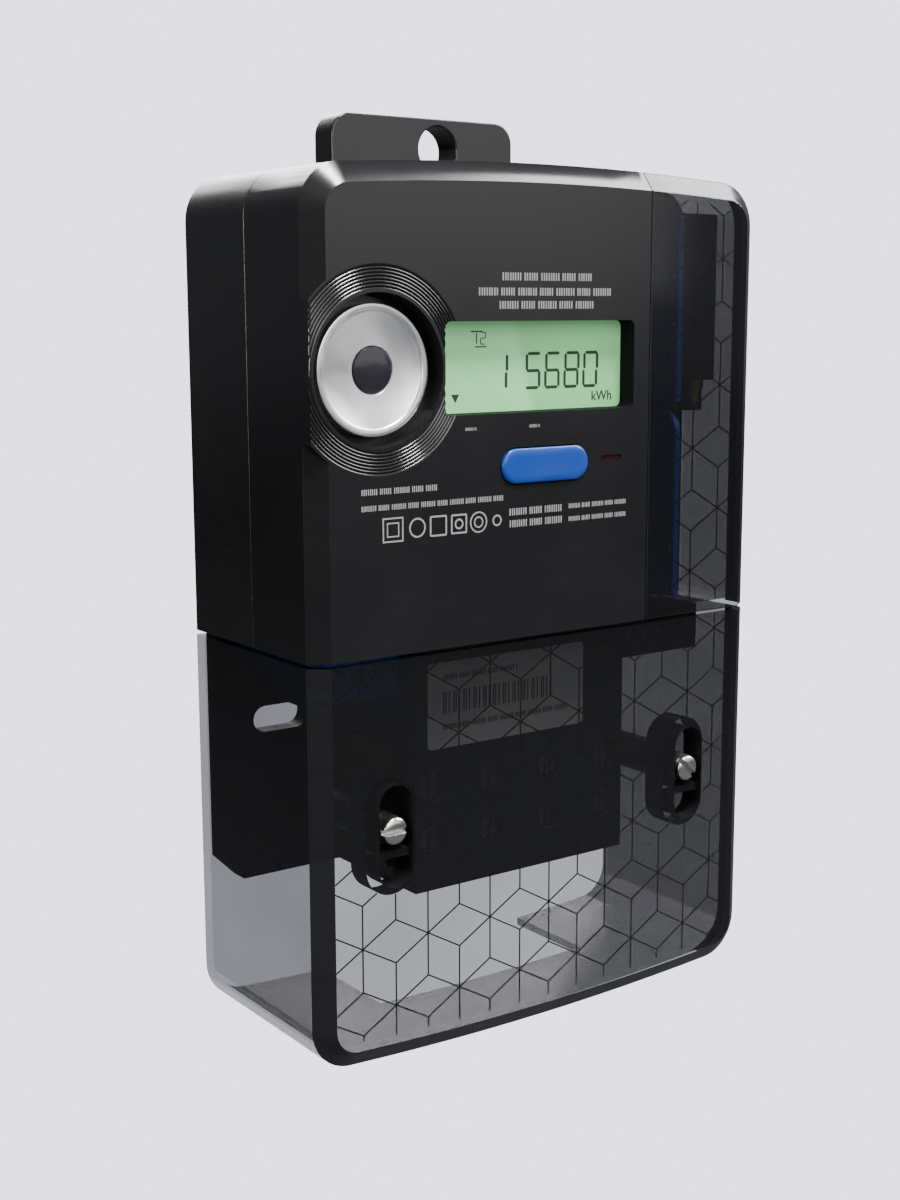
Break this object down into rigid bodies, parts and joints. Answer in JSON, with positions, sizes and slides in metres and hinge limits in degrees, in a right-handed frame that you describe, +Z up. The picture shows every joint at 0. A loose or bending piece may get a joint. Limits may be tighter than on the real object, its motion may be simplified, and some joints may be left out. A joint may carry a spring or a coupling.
{
  "type": "electricity meter",
  "caption": "Wall-mounted electronic electricity meter with a digital display, an optical reading port, a push button, a plug-in radio module bay and a smoked clear terminal cover.",
  "frame": {"origin": "on the wall face, on the case's centre line, 100 mm below its upper corners", "axes": "+Z up, -Y out of the front face towards the reader, +Y into the wall, +X to the reader's right"},
  "size_m": [0.13, 0.0542, 0.2155],
  "materials": {
    "case_black": "satin moulded",
    "terminal_black": "fine moulded",
    "smoked_clear": "smoked clear plastic",
    "seal_rubber": "matt",
    "zinc_steel": "zinc plated",
    "turned_steel": "turned face",
    "nickel_steel": "nickel plated",
    "dark_window": "infrared filter",
    "display_green": "liquid crystal cell",
    "light_guide": "milky",
    "contact_rubber": "matt",
    "diode_body": "moulded epoxy",
    "inner_black": "moulded",
    "board_green": "solder mask",
    "button_blue": "satin moulded",
    "lamp_red": "moulded epoxy",
    "chip_black": "moulded epoxy",
    "film_yellow": "moulded box",
    "sleeve_blue": "shrink sleeve",
    "disc_blue": "dipped coating",
    "battery_sleeve": "shrink sleeve",
    "bar_copper": "bare copper",
    "relay_white": "moulded",
    "coil_tape": "wound tape",
    "clamp_brass": "machined",
    "terminal_blue": "moulded",
    "label_grey": "printed film",
    "plunger_red": "moulded",
    "module_blue": "solder mask",
    "connector_gold": "gold plated"
  },
  "bodies": {
    "housing": {"rear_base": "case_black", "case_seal": "seal_rubber", "front_cover": "case_black", "case_screws": "zinc_steel", "display_frame": "inner_black", "display_glass": "display_green", "backlight": "light_guide", "display_contacts": "contact_rubber", "port_ring": "turned_steel", "port_window": "dark_window", "infrared_emitter": "diode_body", "infrared_receiver": "diode_body", "diode_holder": "inner_black", "front_board": "board_green", "button_switch": "inner_black", "pulse_led": "lamp_red", "pulse_lens": "lamp_red", "main_board": "board_green", "board_screws": "zinc_steel", "metering_chip": "chip_black", "control_chip": "chip_black", "clock_crystal": "nickel_steel", "film_capacitor": "film_yellow", "supply_capacitor": "sleeve_blue", "surge_varistor": "disc_blue", "backup_battery": "battery_sleeve", "current_shunt": "bar_copper", "load_relay": "relay_white", "neutral_transformer": "coil_tape", "board_link": "inner_black", "busbars": "bar_copper", "terminal_block": "terminal_black", "terminal_clamps": "clamp_brass", "clamp_screws": "zinc_steel", "blue_terminal": "terminal_blue", "black_terminal": "terminal_black", "small_screws": "zinc_steel", "terminal_label": "label_grey", "cover_switch": "inner_black", "post_inserts": "clamp_brass", "upper_module_board": "module_blue", "lower_module_board": "module_blue", "radio_module": "terminal_black", "antenna_sockets": "connector_gold", "module_sockets": "inner_black"},
    "display_button": {"button_cap": "button_blue"},
    "cover_plunger": {"cover_plunger": "plunger_red"},
    "terminal_cover": {"terminal_cover": "smoked_clear"},
    "seal_screw_left": {"seal_screw_left": "nickel_steel"},
    "seal_screw_right": {"seal_screw_right": "nickel_steel"},
    "module_cover": {"module_cover": "smoked_clear"},
    "hanger": {"hanger": "case_black"}
  },
  "joints": [
    {"name": "button_press", "type": "slide", "parent": "housing", "child": "display_button", "axis": [0, 1, 0], "range_m": [0, 0.0008], "stiffness_N_per_m": 600},
    {"name": "cover_plunger_press", "type": "slide", "parent": "housing", "child": "cover_plunger", "axis": [0, 1, 0], "range_m": [0, 0.0012], "stiffness_N_per_m": 300},
    {"name": "terminal_cover_lift_off", "type": "slide", "parent": "housing", "child": "terminal_cover", "axis": [0, -1, 0], "range_m": [0, 0.06]},
    {"name": "seal_screw_left_turn", "type": "hinge", "parent": "terminal_cover", "child": "seal_screw_left", "pos_m": [-0.0444, -0.045, -0.044], "axis": [0, -1, 0], "continuous": true},
    {"name": "seal_screw_right_turn", "type": "hinge", "parent": "terminal_cover", "child": "seal_screw_right", "pos_m": [0.0444, -0.045, -0.044], "axis": [0, -1, 0], "continuous": true},
    {"name": "module_cover_lift_off", "type": "slide", "parent": "housing", "child": "module_cover", "axis": [0, -1, 0], "range_m": [0, 0.04]},
    {"name": "hanger_slide", "type": "slide", "parent": "housing", "child": "hanger", "axis": [0, 0, -1], "range_m": [0, 0.014]}
  ]
}
